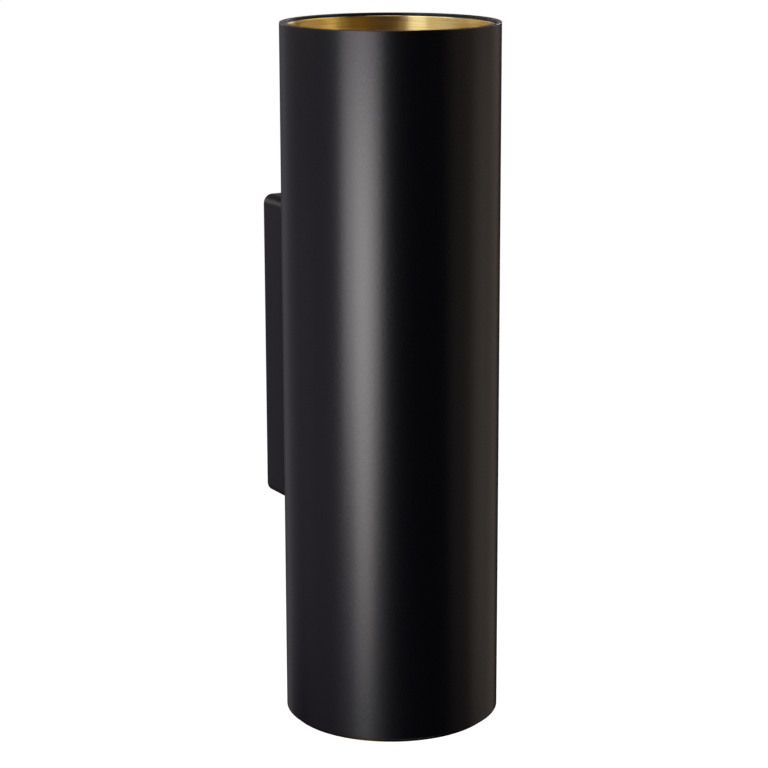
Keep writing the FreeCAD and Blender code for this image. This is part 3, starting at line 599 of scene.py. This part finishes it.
def makeLensTree():
    # small domes in a honeycomb over a round field
    tree, given, out = geometryTree("lensDomes", {
        "Pitch": 0.003, "Field": 0.015, "Rows": 17, "Ball": 0.5, "Dome": (0.0, 0.0, 0.0),
        "Turn": (0.0, 0.0, 0.0), "Place": (0.0, 0.0, 0.0),
    })
    combRise = math.sqrt(3) / 2
    rise = addNode(tree, "ShaderNodeMath", {0: given["Pitch"], 1: combRise}, operation="MULTIPLY")
    gaps = addNode(tree, "ShaderNodeMath", {0: given["Rows"], 1: 1}, operation="SUBTRACT")
    wide = addNode(tree, "ShaderNodeMath", {0: given["Pitch"], 1: gaps}, operation="MULTIPLY")
    tall = addNode(tree, "ShaderNodeMath", {0: rise, 1: gaps}, operation="MULTIPLY")
    rows = {"Vertices X": given["Rows"], "Vertices Y": given["Rows"], "Size X": wide, "Size Y": tall}
    grid = addNode(tree, "GeometryNodeMeshGrid", rows)
    # every second row moves aside by half the pitch
    place = addNode(tree, "GeometryNodeInputPosition")
    up = addNode(tree, "ShaderNodeSeparateXYZ", {"Vector": place}).outputs["Y"]
    rowsUp = addNode(tree, "ShaderNodeMath", {0: up, 1: rise}, operation="DIVIDE")
    row = addNode(tree, "ShaderNodeMath", {0: rowsUp}, operation="ROUND")
    odd = addNode(tree, "ShaderNodeMath", {0: row, 1: 2}, operation="FLOORED_MODULO")
    halfPitch = addNode(tree, "ShaderNodeMath", {0: given["Pitch"], 1: 2}, operation="DIVIDE")
    aside = addNode(tree, "ShaderNodeMath", {0: odd, 1: halfPitch}, operation="MULTIPLY")
    shift = addNode(tree, "ShaderNodeCombineXYZ", {"X": aside})
    comb = addNode(tree, "GeometryNodeSetPosition", {"Geometry": grid, "Offset": shift})
    # what lies outside the field goes
    reach = addNode(tree, "ShaderNodeVectorMath", {0: place}, operation="LENGTH").outputs["Value"]
    beyond = addNode(tree, "ShaderNodeMath", {0: reach, 1: given["Field"]}, operation="GREATER_THAN")
    field = addNode(tree, "GeometryNodeDeleteGeometry",
                    {"Geometry": comb, "Selection": beyond}, domain="POINT")
    radius = addNode(tree, "ShaderNodeMath", {0: given["Pitch"], 1: given["Ball"]}, operation="MULTIPLY")
    ball = addNode(tree, "GeometryNodeMeshIcoSphere", {"Radius": radius, "Subdivisions": 2})
    domes = addNode(tree, "GeometryNodeInstanceOnPoints",
                    {"Points": field, "Instance": ball, "Scale": given["Dome"]})
    moved = addNode(tree, "GeometryNodeTransform",
                    {"Geometry": domes, "Translation": given["Place"], "Rotation": given["Turn"]})
    real = addNode(tree, "GeometryNodeRealizeInstances", {0: moved})
    smooth = addNode(tree, "GeometryNodeSetShadeSmooth", {0: real})
    done = addNode(tree, "GeometryNodeSetMaterial", {"Geometry": smooth, "Material": given["Finish"]})
    setInputs(tree, out, {0: done})
    return tree


lamp = {
    "profile": [(0, 0), (13, 0), (13, 7), (16, 12), (16.3, 13.2), (14.0, 14.4), (21.6, 40.2), (24.4, 41.2),
                (25, 42), (25, 47), (22.5, 47), (22.5, 44), (0, 44)],  # out and up from the seat, mm
    "round": 0.5 * mm,
    "steps": 128,
    "fins": 30,
    "fin": (2.7 * mm, 1.1 * mm, 27.2 * mm),
    "finSunk": 0.05 * mm,  # inside the line from the cone's foot to its top
    "finEdge": 0.3 * mm,
    "coneFoot": (16 * mm, 12 * mm),  # out and up
    "coneTop": (25 * mm, 42 * mm),
}
lens = {
    "profile": [(0, 44.0), (22.3, 44.0), (22.3, 46.2), (19.6, 46.2), (18.9, 45.55), (0, 45.55)],
    "round": 0.3 * mm,
    "steps": 128,
    "pitch": 2.5 * mm,
    "field": 17.2 * mm,
    "rows": 17,
    "ball": 0.56,  # each dome's radius as a share of the pitch, so that neighbours meet
    "dome": (1, 1, 0.42),
}


def joined(name, pieces):
    # one plain mesh of several
    shape = bmesh.new()
    for piece in pieces:
        shape.from_mesh(piece.data)
    whole = plainPiece(name, shape, pieces[0].data.materials[0])
    for piece in pieces:
        bpy.data.objects.remove(piece)
    return whole


def makeLamp(side, finTree, lensTree):
    bodyNode, lensNode = "lamp_body_" + side, "lamp_lens_" + side
    low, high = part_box(bodyNode)
    flip = 1 if side == "upper" else -1
    seat = Vector(((low.x + high.x) / 2, (low.y + high.y) / 2, low.z if flip > 0 else high.z))
    turn = (0, 0, 0) if flip > 0 else (math.pi, 0, 0)
    plastic, clear = finishes[slotOf[bodyNode]], finishes[slotOf[lensNode]]

    core = makeTurned(side + "LampCore", lamp, seat, flip, plastic)
    foot, top = Vector(lamp["coneFoot"]), Vector(lamp["coneTop"])
    slope = math.atan2(top.x - foot.x, top.y - foot.y)
    deep = lamp["fin"][0] / 2 + lamp["finSunk"]
    middle = (foot + top) / 2 - deep * Vector((math.cos(slope), -math.sin(slope)))
    values = {"Count": lamp["fins"], "Fin": lamp["fin"], "Middle": (middle.x, 0, middle.y), "Slope": slope,
              "Turn": turn, "Place": seat, "Finish": plastic}
    fins = fromTree(side + "LampFins", finTree, values, lamp["finEdge"])
    body = joined(side + "LampBody", [core, fins])
    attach(body, bodyOf[side])
    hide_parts(bodyNode)

    plate = makeTurned(side + "LensPlate", lens, seat, flip, clear)
    face = seat + Vector((0, 0, flip * lens["profile"][-1][1] * mm))
    values = {"Pitch": lens["pitch"], "Field": lens["field"], "Rows": lens["rows"], "Ball": lens["ball"],
              "Dome": lens["dome"], "Turn": turn, "Place": face, "Finish": clear}
    domes = fromTree(side + "LensDomes", lensTree, values)
    cover = joined(side + "LampLens", [plate, domes])
    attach(cover, bodyOf[side])
    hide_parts(lensNode)


finTree, lensTree = makeFinTree(), makeLensTree()
for side in ("upper", "lower"):
    makeLamp(side, finTree, lensTree)
print("lamps made")


# edges broken on the fittings, as moulding, tumbling and plating leave them; widths in mm
softEdges = {
    "wall_bracket": 0.3, "lamp_bracket": 0.3, "inner_saddle": 0.5, "terminal_block": 0.4,
    "cable_grommet": 0.4, "lampholder_upper": 0.5, "lampholder_lower": 0.5, "box_screws": 0.2,
    "box_nut": 0.3, "tube_nut": 0.3,
    "fixing_nuts": 0.2, "fixing_screws": 0.15, "holder_screws_upper": 0.12, "holder_screws_lower": 0.12,
    "terminal_block_screws": 0.12, "terminal_screws": 0.1, "terminal_clamps": 0.1, "earth_screw": 0.15,
    "earth_washer": 0.1, "earth_lug": 0.05, "nipple_bushes": 0.2, "mounting_nipple": 0.15,
    "lamp_pins_upper": 0.2, "lamp_pins_lower": 0.2,
}
softening = {
    "weld": 0.001 * mm,  # points of the CAD's loose triangles closer than this are one
    "flat": math.radians(1.5),
    "sharp": math.radians(35),  # edges that turn more than this are broken
}


def soften(node, width):
    shape = bmesh.new()
    shape.from_mesh(frame["nodes"][node].data)
    bmesh.ops.remove_doubles(shape, verts=shape.verts, dist=softening["weld"])
    bmesh.ops.dissolve_limit(shape, angle_limit=softening["flat"], verts=shape.verts, edges=shape.edges)
    for face in shape.faces:
        face.smooth = True
    first, *others = node.split("_")
    piece = plainPiece(first + "".join(word.capitalize() for word in others), shape, finishes[slotOf[node]])
    edge = piece.modifiers.new("edge", "BEVEL")
    edge.width, edge.segments = width * mm, 2
    edge.limit_method, edge.angle_limit = "ANGLE", softening["sharp"]
    edge.use_clamp_overlap, edge.miter_outer = False, "MITER_SHARP"
    settle(piece)
    return piece


for node, width in softEdges.items():
    piece = soften(node, width)
    side = "upper" if "upper" in node else "lower"
    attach(piece, bodyOf[side] if node.startswith("lamp_pins") else "fixture")
    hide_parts(node)
print("fittings softened,", len(softEdges))


# studio

view = {
    "place": (-0.5356, -1.0076, 0.2486),
    "heading": math.radians(29.667),  # from +Y towards +X
    "down": 0.2262,  # radians, as roll is
    "roll": -0.0027,
    "lens": 111.79,  # mm, as the sensor is
    "sensor": 36,
    "shiftY": -0.0234,
    "farthest": 200,
}


def makeCamera():
    camera = newObject("camera", bpy.data.cameras.new("camera"))
    camera.data.sensor_width = view["sensor"]
    camera.data.lens = view["lens"]
    camera.data.shift_y = view["shiftY"]
    camera.data.clip_end = view["farthest"]
    heading, down, roll = view["heading"], view["down"], view["roll"]
    ahead = Vector((math.sin(heading) * math.cos(down), math.cos(heading) * math.cos(down), -math.sin(down)))
    right = Vector((math.cos(heading), -math.sin(heading), 0))
    up = right.cross(ahead)
    leanRight = math.cos(roll) * right + math.sin(roll) * up
    leanUp = -math.sin(roll) * right + math.cos(roll) * up
    turn = Matrix((leanRight, leanUp, -ahead)).transposed()
    camera.matrix_world = Matrix.Translation(view["place"]) @ turn.to_4x4()
    bpy.context.scene.camera = camera


studio = {
    "centre": (0, -0.074, 0),
    "floor": -1.5,  # such a light hangs well above the floor
    "floorSize": 80,
    "white": (1, 1, 1, 1),
}
# turn is the angle in degrees round the object from the camera, to its right; rise is the height of the
# panel's middle and away its distance from the object's upright axis, in metres
softboxes = {
    # turn, rise, away, wide, tall, glow, tint
    "keyNarrow": (-28.5, -0.225, 1.0, 0.31, 0.47, 3.9, "#fffafc"),
    "keyWide": (-30.5, -0.27, 1.95, 1.4, 0.52, 5.2, "#fffafc"),
    "keyHigh": (-33.5, 1.1, 1.9, 0.75, 1.5, 5.5, "#e9f2ff"),
    "leftNear": (-78, -0.58, 2.2, 2.6, 0.94, 0.31, "#f4e2ff"),
    "leftFar": (-128, -0.52, 2.4, 1.6, 1.1, 0.21, "#f4e6ff"),
    "leftHigh": (-66, 1.6, 2.2, 1.43, 2.4, 2.6, "#ffffff"),
    "leftEdge": (-108, 0.5, 2.2, 2.15, 0.5, 2.0, "#fff4e6"),
    "rightNear": (90, -0.5, 2.2, 2.2, 1.1, 0.177, "#fff0e8"),
    "rightFar": (122, -0.55, 2.3, 2.4, 1.25, 0.28, "#ffecdc"),
    "rightHigh": (95, 1.6, 2.2, 2.75, 2.4, 1.7, "#ffedc5"),
    "backLeft": (-146, 0.4, 2.4, 0.76, 0.4, 2.2, "#fff2f2"),
    "backRight": (146, 0.4, 2.4, 0.76, 0.4, 6.0, "#fff2f2"),
    "back": (-152, -0.3, 2.6, 1.0, 2.6, 0.15, "#ffffff"),
    "backMid": (180, 0.45, 2.4, 1.6, 0.7, 0.35, "#f6f2ff"),
    "backHigh": (180, 1.9, 2.2, 2.6, 1.6, 0.2, "#ffffff"),
    "above": (0, 2.6, 0.0, 1.2, 1.2, 2.2, "#ffffff"),
    "below": (0, -1.45, 0.0, 1.2, 1.2, 0.7, "#ffffff"),
}


def makeLight(name, turn, rise, away, wide, tall, glow, tint):
    panel = bpy.data.lights.new(name, "AREA")
    panel.shape = "RECTANGLE"
    panel.size, panel.size_y = wide, tall
    panel.energy = glow * math.pi * wide * tall
    panel.color = colour(tint)[:3]
    light = newObject(name, panel)
    light.visible_camera = False
    centre = Vector(studio["centre"])
    towards = view["heading"] + math.pi - math.radians(turn)  # from +Y towards +X
    place = centre + Vector((math.sin(towards), math.cos(towards), 0)) * away + Vector((0, 0, rise))
    light.location = place
    light.rotation_mode = "QUATERNION"
    aim = centre - place
    if away:
        aim.z = 0  # panels round the object stand upright
    light.rotation_quaternion = aim.to_track_quat("-Z", "Y")


def makeFloor():
    # matt white paint that glows evenly, as a floor lit from all round looks
    mesh = bpy.data.meshes.new("floor")
    half = studio["floorSize"] / 2
    corners = [(-half, -half), (half, -half), (half, half), (-half, half)]
    mesh.from_pydata([(x, y, studio["floor"]) for x, y in corners], [], [(0, 1, 2, 3)])
    floor = newObject("floor", mesh)
    mesh.materials.append(newMaterial("paleFloor", {
        "Base Color": studio["white"],
        "Roughness": 1.0,
        "Emission Color": studio["white"],
        "Emission Strength": 1.0,
    })[0])
    floor.visible_glossy = False
    floor.visible_diffuse = False


def makeWorld():
    world = bpy.data.worlds.new("studio")
    world.use_nodes = True
    world.node_tree.nodes["Background"].inputs["Color"].default_value = studio["white"]
    world.cycles_visibility.diffuse = False
    world.cycles_visibility.glossy = False
    bpy.context.scene.world = world


makeCamera()
for name, panel in softboxes.items():
    makeLight(name, *panel)
makeFloor()
makeWorld()
bpy.context.scene.view_settings.view_transform = "Standard"
print("studio ready")
